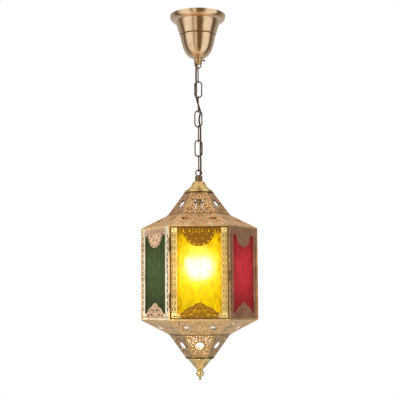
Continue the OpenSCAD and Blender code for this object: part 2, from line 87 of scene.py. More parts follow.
# How much wider the lace's holes are in the fixed panels than in the door
FIXED_BOLD = 1.22
SIDES = ["right_front", "right_back", "back", "left_back", "left_front"]


# ---------------------------------------------------------------- flat outlines

def arc(x, y, radius, start, end, steps):
    """Points along a round arc, angles in degrees."""
    points = []
    for k in range(steps + 1):
        a = math.radians(start + (end - start) * k / steps)
        points.append((x + radius * math.cos(a), y + radius * math.sin(a)))
    return points


def disc(x, y, radius, steps=12):
    """A round outline."""
    return arc(x, y, radius, 0, 360 * (1 - 1 / steps), steps - 1)


def placed(points, x, y, angle):
    """Turns points by an angle in degrees about the origin, then moves them."""
    c, s = math.cos(math.radians(angle)), math.sin(math.radians(angle))
    return [(x + px * c - py * s, y + px * s + py * c) for px, py in points]


def leaf(x, y, length, width, angle, steps=6):
    """A leaf with two points, its length along the angle."""
    upper = [(length * (k / steps - 0.5), width / 2 * math.sin(math.pi * k / steps))
             for k in range(steps)]
    lower = [(-px, -py) for px, py in upper]
    return placed(upper + lower, x, y, angle)


def drop(x, y, length, width, angle, steps=12):
    """A teardrop: pointed at its start, round at its far end."""
    points = []
    for k in range(steps):
        a = 2 * math.pi * k / steps
        points.append((-length / 2 * math.cos(a), width / 2 * math.sin(a) * math.sin(a / 2) ** 1.5))
    return placed(points, x, y, angle)


def crescent(x, y, radius, width, start, end, steps=8):
    """A curved slot that thins out to a point at both ends."""
    outer, inner = [], []
    for k in range(steps + 1):
        t = k / steps
        a = math.radians(start + (end - start) * t)
        half = width / 2 * math.sin(math.pi * t)
        outer.append((x + (radius + half) * math.cos(a), y + (radius + half) * math.sin(a)))
        if 0 < k < steps:
            inner.append((x + (radius - half) * math.cos(a), y + (radius - half) * math.sin(a)))
    return outer + inner[::-1]


def sector(x, y, inner, outer, start, end, steps=8):
    """A curved slot of even width."""
    return arc(x, y, outer, start, end, steps) + arc(x, y, inner, end, start, steps)


def mirrored(points):
    """The outline on the other side of the middle line, in the same order round."""
    return [(-x, y) for x, y in points][::-1]


def segment_distance(p, a, b):
    """From a point to the nearest place on a straight stretch."""
    ax, ay = b[0] - a[0], b[1] - a[1]
    t = ((p[0] - a[0]) * ax + (p[1] - a[1]) * ay) / (ax * ax + ay * ay)
    t = max(0.0, min(1.0, t))
    return math.hypot(p[0] - a[0] - t * ax, p[1] - a[1] - t * ay)


def inside(p, outline):
    """Whether a point is within a closed outline."""
    found = False
    for (x1, y1), (x2, y2) in zip(outline, outline[1:] + outline[:1]):
        if (y1 > p[1]) != (y2 > p[1]) and p[0] < x1 + (p[1] - y1) * (x2 - x1) / (y2 - y1):
            found = not found
    return found


def plane_map(mesh):
    """Keeps a flat piece's own x and y, in metres, as texture coordinates."""
    plane = mesh.uv_layers.new(name="plane")
    for loop, target in zip(mesh.loops, plane.data):
        target.uv = mesh.vertices[loop.vertex_index].co.xy


class Lace:
    """A flat sheet and the holes sawn in it. A hole is left out where it would break the web."""

    def __init__(self, outline, windows=(), margin=1.4, web=0.55):
        self.outline = outline
        self.windows = list(windows)
        self.margin = margin
        self.web = web
        self.holes = []

    def fits(self, hole):
        """Keeps the hole if metal is left all round it; tells whether it did."""
        for p in hole:
            if not inside(p, self.outline):
                return False
            for edge in [self.outline] + self.windows:
                if edge is not self.outline and inside(p, edge):
                    return False
                for a, b in zip(edge, edge[1:] + edge[:1]):
                    if segment_distance(p, a, b) < self.margin:
                        return False
        x = sum(p[0] for p in hole) / len(hole)
        y = sum(p[1] for p in hole) / len(hole)
        reach = max(math.hypot(p[0] - x, p[1] - y) for p in hole)
        for other, ox, oy, other_reach in self.holes:
            if math.hypot(x - ox, y - oy) > reach + other_reach + self.web:
                continue
            for near, far in ((hole, other), (other, hole)):
                for p in near:
                    if inside(p, far):
                        return False
                    for a, b in zip(far, far[1:] + far[:1]):
                        if segment_distance(p, a, b) < self.web:
                            return False
        self.holes.append((hole, x, y, reach))
        return True

    def cut(self, *holes):
        for hole in holes:
            self.fits(hole)

    def cut_pair(self, hole):
        """The same hole on both sides of the middle line."""
        self.cut(hole, mirrored(hole))

    def mesh(self, name, thickness=SHEET, edge=0.14):
        """The sheet as a mesh in its own plane, z from 0 to its thickness, with softened edges."""
        curve = bpy.data.curves.new(name, "CURVE")
        curve.dimensions = "2D"
        curve.fill_mode = "BOTH"
        curve.extrude = (thickness / 2 - edge) * MM
        curve.bevel_depth = edge * MM
        curve.bevel_resolution = 0
        curve.offset = -edge * MM
        for points in [self.outline] + self.windows + [h[0] for h in self.holes]:
            spline = curve.splines.new("POLY")
            spline.points.add(len(points) - 1)
            for target, (x, y) in zip(spline.points, points):
                target.co = (x * MM, y * MM, 0, 1)
            spline.use_cyclic_u = True
        holder = bpy.data.objects.new(name, curve)
        bpy.context.scene.collection.objects.link(holder)
        depsgraph = bpy.context.evaluated_depsgraph_get()
        mesh = bpy.data.meshes.new_from_object(holder.evaluated_get(depsgraph))
        bpy.data.objects.remove(holder)
        mesh.transform(Matrix.Translation((0, 0, thickness / 2 * MM)))
        mesh.materials.clear()
        plane_map(mesh)
        return mesh


# ---------------------------------------------------------------- placing

def side_turn(i):
    """The side's own frame: x along the side, y outwards, z up; side 0 is the front door."""
    return Matrix.Rotation(math.radians(180 + 60 * i), 4, "Z")


def on_wall(y_out):
    """Stands a flat sheet upright: its y goes up from the body's lower edge, its thickness inwards."""
    upright = Matrix.Rotation(math.radians(90), 4, "X")
    return Matrix.Translation((0, y_out * MM, BODY_BOTTOM * MM)) @ upright


def between_edges(low, high):
    """Leans a flat sheet from a lower hexagon edge to an upper one, its thickness inwards."""
    run = (high[0] - low[0]) * COS30
    tilt = math.atan2(high[1] - low[1], run)
    return Matrix.Translation((0, low[0] * COS30 * MM, low[1] * MM)) @ Matrix.Rotation(tilt, 4, "X")


def slope_length(low, high):
    """The length of a sloping sheet from its lower hexagon edge to its upper one."""
    return math.hypot((high[0] - low[0]) * COS30, high[1] - low[1])


def joined(name, *groups):
    """One object made of groups of meshes that are already in place; group k takes material k."""
    vertices, faces, tones = [], [], []
    for k, meshes in enumerate(groups):
        for mesh in meshes:
            start = len(vertices)
            vertices.extend(v.co.copy() for v in mesh.vertices)
            faces.extend([start + i for i in p.vertices] for p in mesh.polygons)
            tones.extend([k] * len(mesh.polygons))
    whole = bpy.data.meshes.new(name)
    whole.from_pydata(vertices, [], faces)
    whole.polygons.foreach_set("material_index", tones)
    whole.update()
    return add(name, whole)


def add(name, mesh):
    piece = bpy.data.objects.new(name, mesh)
    bpy.context.scene.collection.objects.link(piece)
    return piece


def smooth(piece, angle=35):
    mesh = piece.data
    mesh.shade_smooth()
    mesh.set_sharp_from_angle(angle=math.radians(angle))


def moved(mesh, matrix):
    copy = mesh.copy()
    copy.transform(matrix)
    return copy


def finish_piece(piece, body, materials, node_name):
    """Paints a piece, puts it in its material slot, and lets it stand for its CAD node on its body."""
    for material in materials:
        piece.data.materials.append(material)
    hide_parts(node_name)
    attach(piece, body)


def rod(a, b, radius, sides=8):
    """A straight round bar between two points, as a mesh with closed ends."""
    a, b = Vector(a) * MM, Vector(b) * MM
    along = (b - a).normalized()
    across = along.orthogonal().normalized()
    other = along.cross(across)
    points = []
    for end in (a, b):
        for k in range(sides):
            t = 2 * math.pi * k / sides
            points.append(end + radius * MM * (math.cos(t) * across + math.sin(t) * other))
    faces = [[k, (k + 1) % sides, sides + (k + 1) % sides, sides + k] for k in range(sides)]
    faces.append(list(range(sides))[::-1])
    faces.append(list(range(sides, 2 * sides)))
    mesh = bpy.data.meshes.new("rod")
    mesh.from_pydata(points, [], faces)
    return mesh


# ---------------------------------------------------------------- pierced patterns

def stile_column(lace, x, low, high, bold):
    """Split rings round a seed, parted by rows of three beads."""
    pitch = 12.4
    count = int((high - low) / pitch)
    start = (low + high - (count - 1) * pitch) / 2
    for k in range(count):
        y = start + k * pitch
        lace.cut(disc(x, y, 1.0))
        for turn in (0, 180):
            lace.cut(sector(x, y, 2.1, 4.6 * bold, turn - 74, turn + 74))
    for k in range(count + 1):
        y = start + (k - 0.5) * pitch
        for aside in (-4.2, 0, 4.2):
            lace.cut(disc(x + aside, y, 1.25 * bold))


def window_outline(half, low, high, fan_y, fan_r, tip):
    """The glass opening: a fan hangs into it from above and a domed ornament stands in it below."""
    fan_edge = math.degrees(math.asin((fan_y - high) / fan_r))
    cusp = half - 6.2
    top = [(half, high - 2.2), (half - 1.2, high - 0.4), (half - 3.1, high)]
    top += [(cusp, high - 3.6), (cusp - 3.1, high)]
    fan = arc(0, fan_y, fan_r, -fan_edge, -180 + fan_edge, 40)
    right_dome = [(half, low), (half - 4, low + 0.6), (36.5, low + 3.4), (33.5, low + 5.0),
                  (30, low + 8.6), (25.5, low + 12), (20.5, low + 14.4), (16, low + 15.6),
                  (13, low + 16.0), (11.6, low + 17.6), (8.6, low + 20.9), (4.4, tip - 0.7)]
    return right_dome[:1] + top + fan + mirrored(top) + [(-x, y) for x, y in right_dome] \
        + [(0, tip)] + right_dome[:0:-1]


def fan_ornament(lace, y, radius, bold):
    """The half-round fan: a rim of large beads, four inner beads and two curved slots."""
    for side in (-1, 1):
        for a in (0, 20, 41, 62, 82):
            t = math.radians(side * a - 90)
            lace.cut(disc((radius - 3.6) * math.cos(t), y + (radius - 3.6) * math.sin(t), 1.75 * bold))
        for a in (23, 66):
            t = math.radians(side * a - 90)
            lace.cut(disc(17.8 * math.cos(t), y + 17.8 * math.sin(t), 1.5 * bold ** 2))
        lace.cut(crescent(side * 17.0, y - 4.6, 5.0, 1.1 * bold ** 4, -160, -20, 6))


def dome_ornament(lace, low, tip, bold):
    """The domed ornament: rays in its lobe, two pairs of scrolls and beads along its shoulders."""
    for side in (-1, 1):
        for a, length in ((17, 7.0), (66, 5.6)):
            t = math.radians(90 - side * a)
            x, y = 6.4 * math.cos(t), tip - 11.4 + 6.4 * math.sin(t)
            lace.cut(drop(x, y, length, 2.7 * bold, 90 - side * a))
    lace.cut(drop(0, low + 5.2, 8.4, 3.4 * bold, 90))
    lace.cut_pair(crescent(8.6, low + 4.4, 4.6, 2.3 * bold, -70, 205))
    lace.cut_pair(disc(8.6, low + 4.2, 1.3))
    lace.cut_pair(crescent(17.4, low - 5.2, 5.3, 2.5 * bold, -10, 190))
    lace.cut_pair(disc(17.4, low - 5.4, 1.6))
    lace.cut_pair(crescent(30.2, low - 5.4, 4.0, 2.2 * bold, -10, 190))
    lace.cut_pair(disc(30.2, low - 5.8, 1.3))
    lace.cut_pair(leaf(5.2, low - 5.2, 7.6, 2.6, 62))
    for x, y in ((16.6, 11.0), (21.4, 8.8), (26.0, 5.8), (30.6, 2.0)):
        lace.cut_pair(disc(x, low + y - 1.2, 1.35 * bold))
    for x, y in ((15.4, 5.2), (23.0, 2.6)):
        lace.cut_pair(drop(x, low + y, 4.4, 2.2, 60))


def fret_lace(half, low_edge, high_edge, bold):
    """A wall panel's sheet with its window and all its lace. Bold widens the holes of the lace."""
    low, high = WINDOW_LOW, WINDOW_HIGH
    outline = [(-half, low_edge), (half, low_edge), (half, high_edge), (-half, high_edge)]
    lace = Lace(outline, [window_outline(WINDOW_HALF, low, high, FAN_Y, FAN_R, DOME_TIP)], margin=0.9)
    fan_ornament(lace, FAN_Y, FAN_R, bold)
    dome_ornament(lace, low, DOME_TIP, bold)
    for side in (-1, 1):
        stile_column(lace, side * STILE_X, low + 1, high + 4, bold)
    for k in range(5):
        x = 6.5 + 13.0 * k
        lace.cut_pair(drop(x, high_edge - 8.2, 8.0, 5.6, -90))
    for k in range(5):
        x = 13.0 * k
        lace.cut_pair(disc(x, high_edge - 5.8, 1.3))
        lace.cut_pair(leaf(x, high_edge - 11.6, 5.4, 2.4, 90))
    for x in (37.5, 44.0, 50.5, 57.0):
        lace.cut_pair(leaf(x, low_edge + 5.6, 5.4, 2.8, 90))
        lace.cut_pair(disc(x - 3.2, low_edge + 5.6, 1.2))
    return lace


def tier_outline(low, high, length):
    """A tier's sheet between two hexagon edges, nearly meeting its neighbours at the hips."""
    seam = 0.25
    return [(seam - low[0] / 2, 0), (low[0] / 2 - seam, 0),
            (high[0] / 2 - seam, length), (seam - high[0] / 2, length)]


def edge_beads(lace, low, high, length):
    """Beads that follow the sheet's sloping edges."""
    half_low, half_high = low[0] / 2, high[0] / 2
    tilt = math.atan2(half_high - half_low, length)
    steps = int(length / 5.4)
    for k in range(1, steps):
        t = k / steps
        x = half_low + (half_high - half_low) * t - 3.8 / math.cos(tilt)
        lace.cut_pair(disc(x, length * t, 1.3))


def scatter_leaves(lace, length, half, pitch=10.4):
    """A trellis of paired leaves, with dots wherever there is still room."""
    rows = int(length / (pitch * 0.5)) + 1
    for row in range(rows):
        y = row * pitch * 0.5
        for k in range(int(half / pitch) + 2):
            x = (k + 0.5 * (row % 2)) * pitch
            if row % 2:
                lace.cut_pair(leaf(x, y, 8.0, 4.6, 38 if (row + k) % 4 < 2 else -38))
            elif x:
                lace.cut_pair(drop(x, y, 7.0, 4.9, 90))
            else:
                lace.cut(drop(0, y, 7.0, 4.9, 90))
    fine = 4.4
    for radius in (2.2, 1.6):
        for row in range(int(length / fine) + 1):
            for k in range(int(half / fine) + 1):
                lace.cut_pair(disc((k + 0.5 * (row % 2)) * fine, row * fine, radius, 10))


def steep_lace(low, high, wide_up):
    """Sunburst: a round eye, twelve petals round it, larger petals in the wide corners."""
    length = slope_length(low, high)
    lace = Lace(tier_outline(low, high, length), margin=1.3, web=0.8)
    up = 1 if wide_up else -1
    mid = length * 0.52
    wide = length if wide_up else 0
    lace.cut(disc(0, mid, 9.3, 28))
    for k in range(12):
        a = 30 * k
        t = math.radians(a)
        lace.cut(drop(14.4 * math.cos(t), mid + 14.4 * math.sin(t), 7.0, 4.4, a))
    lace.cut_pair(drop(21.6, mid + up * 14.6, 10.0, 5.4, up * 34))
    lace.cut_pair(drop(11.6, mid + up * 19.4, 8.0, 4.2, up * 62))
    lace.cut(drop(0, mid + up * 21.2, 6.0, 3.8, up * 90))
    lace.cut_pair(drop(5.8, mid - up * 21.0, 6.2, 3.6, -up * 68))
    lace.cut(drop(0, mid - up * 22.4, 4.4, 2.4, -up * 90))
    for k in range(-5, 6):
        lace.cut(leaf(k * 6.2, wide - up * 3.8, 4.4, 3.2, 90))
    edge_beads(lace, low, high, length)
    scatter_leaves(lace, length, 36)
    return lace


def shallow_lace(low, high, wide_up):
    """Two round windows in a field of arabesque, with a palmette between them."""
    length = slope_length(low, high)
    lace = Lace(tier_outline(low, high, length), margin=1.3, web=0.8)
    up = 1 if wide_up else -1
    wide = length if wide_up else 0
    mid = wide - up * length * 0.56
    for x in (-28, 28):
        lace.cut(disc(x, mid, 7.8, 26))
        for k in range(12):
            t = 2 * math.pi * k / 12
            lace.cut(disc(x + 11.2 * math.cos(t), mid + 11.2 * math.sin(t), 1.6))
    for k in range(5):
        a = 90 + (k - 2) * 36
        t = math.radians(a)
        lace.cut(drop(9.0 * math.cos(t), mid + up * 9.0 * math.sin(t), 9.0, 4.6, up * a))
    lace.cut_pair(crescent(6.6, mid - up * 7.4, 4.8, 2.4, -120, 130))
    lace.cut(drop(0, mid - up * 9.6, 8.4, 4.0, -up * 90))
    for k in range(-8, 9):
        lace.cut(drop(k * 7.0, wide - up * 5.0, 5.6, 4.0, -up * 90))
    for k in range(-5, 6):
        lace.cut(disc(k * 5.6, length - wide + up * 3.4, 1.5))
    edge_beads(lace, low, high, length)
    scatter_leaves(lace, length, 64)
    return lace


# ---------------------------------------------------------------- material helpers

def new_material(name):
    material = bpy.data.materials.new(name)
    material.use_nodes = True
    tree = material.node_tree
    tree.nodes.clear()
    return material, tree


def node(tree, kind, inputs=None, **settings):
    """A shader node; its inputs take sockets, which are linked, or plain values."""
    made = tree.nodes.new(kind)
    for key, value in settings.items():
        setattr(made, key, value)
    for key, value in (inputs or {}).items():
        if isinstance(value, bpy.types.NodeSocket):
            tree.links.new(value, made.inputs[key])
        else:
            made.inputs[key].default_value = value
    return made


def ramp(tree, factor, stops):
    """A colour ramp of (place, colour) stops."""
    made = node(tree, "ShaderNodeValToRGB", {"Fac": factor})
    elements = made.color_ramp.elements
    while len(elements) > 1:
        elements.remove(elements[-1])
    elements[0].position, elements[0].color = stops[0][0], (*stops[0][1], 1)
    for place, color in stops[1:]:
        elements.new(place).color = (*color, 1)
    return made.outputs["Color"]


def grey(value):
    return (value, value, value)


def mix(tree, factor, first, second, blend="MIX"):
    """Colour mix of two sockets or fixed colours."""
    made = node(tree, "ShaderNodeMix", data_type="RGBA", blend_type=blend)
    for place, value in ((0, factor), (6, first), (7, second)):
        if isinstance(value, bpy.types.NodeSocket):
            tree.links.new(value, made.inputs[place])
        else:
            made.inputs[place].default_value = value if place == 0 else (*value, 1)
    return made.outputs[2]


def math_node(tree, operation, *values):
    """One sum on sockets or plain numbers."""
    made = node(tree, "ShaderNodeMath", operation=operation)
    for place, value in enumerate(values):
        if isinstance(value, bpy.types.NodeSocket):
            tree.links.new(value, made.inputs[place])
        else:
            made.inputs[place].default_value = value
    return made.outputs[0]


def faces_axis(tree, place):
    """1 on the faces that look at the lantern's axis, 0 on those that look away from it."""
    outwards = node(tree, "ShaderNodeVectorMath", {0: place, 1: (1, 1, 0)}, operation="MULTIPLY")
    normal = node(tree, "ShaderNodeNewGeometry").outputs["True Normal"]
    lean = node(tree, "ShaderNodeVectorMath", {0: outwards.outputs[0], 1: normal},
                operation="DOT_PRODUCT")
    return math_node(tree, "LESS_THAN", lean.outputs["Value"], -0.001)


def plane_place(tree):
    """The x and y of a flat piece's own plane."""
    parts = node(tree, "ShaderNodeSeparateXYZ",
                 {"Vector": node(tree, "ShaderNodeUVMap", uv_map="plane").outputs["UV"]})
    return parts.outputs["X"], parts.outputs["Y"]


def in_ornament(tree):
    """1 in the fan, the header it hangs from and the standing dome, on the wall panel's own plane: where
    the lace takes its painted shade.
    """
    x, y = plane_place(tree)
    across = math_node(tree, "POWER", math_node(tree, "ABSOLUTE", x), 2.0)
    up = math_node(tree, "SUBTRACT", y, FAN_Y * MM)
    reach = math_node(tree, "SQRT", math_node(tree, "ADD", across, math_node(tree, "MULTIPLY", up, up)))
    fan = math_node(tree, "LESS_THAN", reach, (FAN_R + 0.5) * MM)
    low = math_node(tree, "LESS_THAN", y, (DOME_TIP + 1) * MM)
    above = math_node(tree, "GREATER_THAN", y, 4.5 * MM)
    narrow = math_node(tree, "LESS_THAN", math_node(tree, "ABSOLUTE", x), DOME_HALF * MM)
    dome = math_node(tree, "MULTIPLY", math_node(tree, "MULTIPLY", low, above), narrow)
    between = math_node(tree, "LESS_THAN", math_node(tree, "ABSOLUTE", x), 45.0 * MM)
    high = math_node(tree, "GREATER_THAN", y, (WINDOW_HIGH - 4) * MM)
    header = math_node(tree, "MULTIPLY", between, high)
    return math_node(tree, "MAXIMUM", math_node(tree, "MAXIMUM", fan, dome), header)


def brass(name, light, mid, dark, roughness, grain=(220, 220, 220), worn=0.5,
          relief=0.12, ornament=None, inner=None, groove=None):
    """Aged brass: cloudy patina, fine brushing, darker pits and brighter worn edges.

    ornament is painted shade for the fan, the header and the dome, inner is a list of (height, tone) of
    painted light and shade for the inner faces, and groove is a height in millimetres where a narrow
    band is darkened.
    """
    material, tree = new_material(name)
    place = node(tree, "ShaderNodeTexCoord").outputs["Object"]
    cloud = node(tree, "ShaderNodeTexNoise",
                 {"Vector": place, "Scale": 55.0, "Detail": 6.0, "Roughness": 0.62})
    color = ramp(tree, cloud.outputs["Fac"], [(0.30, dark), (0.46, mid), (0.64, light)])
    stretch = node(tree, "ShaderNodeMapping", {"Vector": place, "Scale": grain})
    brushing = node(tree, "ShaderNodeTexNoise",
                    {"Vector": stretch.outputs["Vector"], "Scale": 9.0, "Detail": 4.0, "Roughness": 0.7})
    streak = ramp(tree, brushing.outputs["Fac"], [(0.3, grey(0.82)), (0.7, grey(1.0))])
    color = mix(tree, 1.0, color, streak, "MULTIPLY")
    edge = node(tree, "ShaderNodeNewGeometry").outputs["Pointiness"]
    wear = ramp(tree, edge, [(0.47, grey(0.0)), (0.55, grey(worn))])
    color = mix(tree, wear, color, [min(1.0, c * 1.15 + 0.05) for c in light])
    # Painted shade: the fan, the header and the dome are darkened by the ornament tone
    if ornament:
        color = mix(tree, in_ornament(tree), color, mix(tree, 1.0, color, ornament, "MULTIPLY"))
    height = node(tree, "ShaderNodeSeparateXYZ", {"Vector": place}).outputs["Z"]
    # Painted light and shade: the faces that look at the axis take the tones of inner, by height
    if inner:
        first, last = inner[0][0], inner[-1][0]
        span = node(tree, "ShaderNodeMapRange",
                    {"Value": height, "From Min": first * MM, "From Max": last * MM})
        tones = ramp(tree, span.outputs[0], [((z - first) / (last - first), tone) for z, tone in inner])
        color = mix(tree, faces_axis(tree, place), color, mix(tree, 1.0, color, tones, "MULTIPLY"))
    # A narrow band darkened along the groove's height
    if groove:
        away = math_node(tree, "ABSOLUTE", math_node(tree, "SUBTRACT", height, groove * MM))
        away = math_node(tree, "MULTIPLY", away, GROOVE_SHARPNESS)
        seam_band = ramp(tree, away, [(0.25, (0.16, 0.09, 0.03)), (0.6, grey(1.0))])
        color = mix(tree, 1.0, color, seam_band, "MULTIPLY")
    rough = ramp(tree, cloud.outputs["Fac"],
                 [(0.3, grey(min(1, roughness + 0.12))), (0.7, grey(roughness))])
    bump = node(tree, "ShaderNodeBump",
                {"Height": brushing.outputs["Fac"], "Strength": relief, "Distance": 0.0004})
    surface = node(tree, "ShaderNodeBsdfPrincipled",
                   {"Base Color": color, "Roughness": rough, "Normal": bump.outputs["Normal"]})
    surface.inputs["Metallic"].default_value = 1.0
    out = node(tree, "ShaderNodeOutputMaterial")
    tree.links.new(surface.outputs["BSDF"], out.inputs["Surface"])
    return material


def hammered_glass(name, tint, body_tint, clear, roughness, scale=200.0):
    """Coloured hammered glass: part see-through, part glowing where the lamp lights it, with
    painted shade towards its upright edges, so that the lace of the stiles stands out on it."""
    material, tree = new_material(name)
    place = node(tree, "ShaderNodeTexCoord").outputs["Object"]
    stretch = node(tree, "ShaderNodeMapping", {"Vector": place, "Scale": (1.0, 1.0, 0.45)})
    ripples = node(tree, "ShaderNodeTexVoronoi",
                   {"Vector": stretch.outputs["Vector"], "Scale": scale}, feature="SMOOTH_F1")
    waves = node(tree, "ShaderNodeTexNoise",
                 {"Vector": stretch.outputs["Vector"], "Scale": scale * 0.5, "Detail": 3.0,
                  "Distortion": 0.6})
    relief = math_node(tree, "ADD", ripples.outputs["Distance"], waves.outputs["Fac"])
    bump = node(tree, "ShaderNodeBump", {"Height": relief, "Strength": 0.9, "Distance": 0.0012})
    shade = ramp(tree, ripples.outputs["Distance"],
                 [(0.25, body_tint), (0.60, [c * 0.64 for c in body_tint])])
    # Painted shade: the pane is darker and browner towards its upright edges
    aside = math_node(tree, "MULTIPLY", math_node(tree, "ABSOLUTE", plane_place(tree)[0]), PANE_SPREAD)
    edge = ramp(tree, aside, [(0.62, grey(1.0)), (0.77, (0.86, 0.76, 0.7)), (0.84, (0.50, 0.33, 0.20))])
    shade = mix(tree, 1.0, shade, edge, "MULTIPLY")
    glow = node(tree, "ShaderNodeBsdfTranslucent", {"Color": shade, "Normal": bump.outputs["Normal"]})
    glass = node(tree, "ShaderNodeBsdfPrincipled", {"Normal": bump.outputs["Normal"]})
    glass.inputs["Base Color"].default_value = (*tint, 1)
    glass.inputs["Roughness"].default_value = roughness
    glass.inputs["IOR"].default_value = 1.2
    glass.inputs["Transmission Weight"].default_value = 1.0
    both = node(tree, "ShaderNodeMixShader")
    both.inputs[0].default_value = clear
    tree.links.new(glow.outputs[0], both.inputs[1])
    tree.links.new(glass.outputs[0], both.inputs[2])
    out = node(tree, "ShaderNodeOutputMaterial")
    tree.links.new(both.outputs[0], out.inputs["Surface"])
    return material


def simple_surface(name, light, dark, roughness, metallic=0.0, scale=180.0, bump_depth=0.0002):
    """Plain moulded, plated or glazed surface with slight mottling and a fine texture."""
    material, tree = new_material(name)
    place = node(tree, "ShaderNodeTexCoord").outputs["Object"]
    mottle = node(tree, "ShaderNodeTexNoise", {"Vector": place, "Scale": scale, "Detail": 5.0})
    color = ramp(tree, mottle.outputs["Fac"], [(0.35, dark), (0.65, light)])
    rough = ramp(tree, mottle.outputs["Fac"],
                 [(0.3, grey(min(1, roughness + 0.08))), (0.7, grey(roughness))])
    bump = node(tree, "ShaderNodeBump",
                {"Height": mottle.outputs["Fac"], "Strength": 0.3, "Distance": bump_depth})
    surface = node(tree, "ShaderNodeBsdfPrincipled",
                   {"Base Color": color, "Roughness": rough, "Normal": bump.outputs["Normal"]})
    surface.inputs["Metallic"].default_value = metallic
    out = node(tree, "ShaderNodeOutputMaterial")
    tree.links.new(surface.outputs["BSDF"], out.inputs["Surface"])
    return material


def lit_bulb(name):
    """Frosted bulb, lit from inside: brightest on the lower half of its globe, dim at the neck."""
    material, tree = new_material(name)
    surface = node(tree, "ShaderNodeBsdfPrincipled")
    surface.inputs["Base Color"].default_value = (1.0, 0.97, 0.9, 1)
    surface.inputs["Roughness"].default_value = 0.35
    surface.inputs["Emission Strength"].default_value = BULB_STRENGTH
    place = node(tree, "ShaderNodeTexCoord").outputs["Object"]
    height = node(tree, "ShaderNodeSeparateXYZ", {"Vector": place}).outputs["Z"]
    span = node(tree, "ShaderNodeMapRange",
                {"Value": height, "From Min": GLOBE_BOTTOM * MM, "From Max": NECK_TOP * MM})
    glow = ramp(tree, span.outputs[0],
                [(0.0, (0.60, 0.50, 0.34)), (0.08, LAMP_WHITE), (0.46, LAMP_WHITE),
                 (0.60, (0.24, 0.19, 0.10)), (1.0, (0.03, 0.02, 0.008))])
    tree.links.new(glow, surface.inputs["Emission Color"])
    frost = node(tree, "ShaderNodeTexNoise", {"Vector": place, "Scale": 900.0})
    bump = node(tree, "ShaderNodeBump",
                {"Height": frost.outputs["Fac"], "Strength": 0.2, "Distance": 0.0001})
    tree.links.new(bump.outputs["Normal"], surface.inputs["Normal"])
    out = node(tree, "ShaderNodeOutputMaterial")
    tree.links.new(surface.outputs["BSDF"], out.inputs["Surface"])
    return material


def braided_sleeve(name, light, dark):
    """Two sets of threads crossing round the cord, laid out on its own length and girth."""
    material, tree = new_material(name)
    place = node(tree, "ShaderNodeUVMap").outputs["UV"]
    parts = node(tree, "ShaderNodeSeparateXYZ", {"Vector": place})
    threads = []
    for lean in (1, -1):
        girth = math_node(tree, "MULTIPLY", parts.outputs["X"], lean * THREADS_ROUND)
        along = math_node(tree, "MULTIPLY", parts.outputs["Y"], THREADS_ALONG)
        threads.append(math_node(tree, "SINE", math_node(tree, "ADD", girth, along)))
    weave = math_node(tree, "MAXIMUM", *threads)
    color = ramp(tree, weave, [(0.0, dark), (0.9, light)])
    bump = node(tree, "ShaderNodeBump", {"Height": weave, "Strength": 0.8, "Distance": 0.0003})
    surface = node(tree, "ShaderNodeBsdfPrincipled",
                   {"Base Color": color, "Normal": bump.outputs["Normal"]})
    surface.inputs["Roughness"].default_value = 0.75
    surface.inputs["Sheen Weight"].default_value = 0.1
    out = node(tree, "ShaderNodeOutputMaterial")
    tree.links.new(surface.outputs["BSDF"], out.inputs["Surface"])
    return material


# ---------------------------------------------------------------- materials

# Radians of thread pattern once round the cord, and along each metre of it
THREADS_ROUND = 37.7
THREADS_ALONG = 4200.0
# How fast the canopy's dark seam band and a pane's painted edge shade fade, per metre
GROOVE_SHARPNESS = 400.0
PANE_SPREAD = 17.0
BULB_STRENGTH = 38.0
LAMP_WHITE = (1.0, 0.95, 0.82)
GLOBE_BOTTOM = -579.0
NECK_TOP = -496.0
SEAM_Z = -44.8
# Painted light and shade on the roof's inner faces: lighter low down where the lamp lights them, near
# black at the top
ROOF_INSIDE_SHADE = [(-470, (0.55, 0.42, 0.26)), (-440, (0.42, 0.30, 0.17)), (-425, (0.06, 0.035, 0.02)),
               (-393, (0.02, 0.012, 0.006))]
# Painted shade on the base's inner faces, a little darker towards the body
BASE_INSIDE_SHADE = [(-744, (0.62, 0.60, 0.56)), (-664, (0.56, 0.54, 0.50))]

# The wall brass; its ornament tone is painted shade in the fan, the header and the dome
PALE = brass("pale_brass", (0.93, 0.70, 0.40), (0.84, 0.58, 0.31), (0.56, 0.34, 0.17), 0.34,
             ornament=(0.8, 0.7, 0.6))
# A lighter, more golden copy of the wall brass for the door: painted light; its ornament tone is a
# strong painted shade
LIT_DOOR_BRASS = brass("lit_door_brass", (1.0, 0.87, 0.42), (0.98, 0.76, 0.34), (0.62, 0.40, 0.13), 0.40,
                  ornament=(0.32, 0.175, 0.05))
# A lighter copy of the wall brass for the panel left of the door: painted light
LIT_SIDE_BRASS = brass("lit_side_brass", (1.0, 0.94, 0.70), (0.92, 0.80, 0.55), (0.56, 0.42, 0.24), 0.36,
              ornament=(0.85, 0.60, 0.50))
# A darker, redder copy of the wall brass for the panel right of the door: painted shade
SHADED_SIDE_BRASS = brass("shaded_side_brass", (0.62, 0.38, 0.22), (0.48, 0.26, 0.15), (0.26, 0.12, 0.06), 0.38,
               ornament=(0.92, 0.92, 0.92))
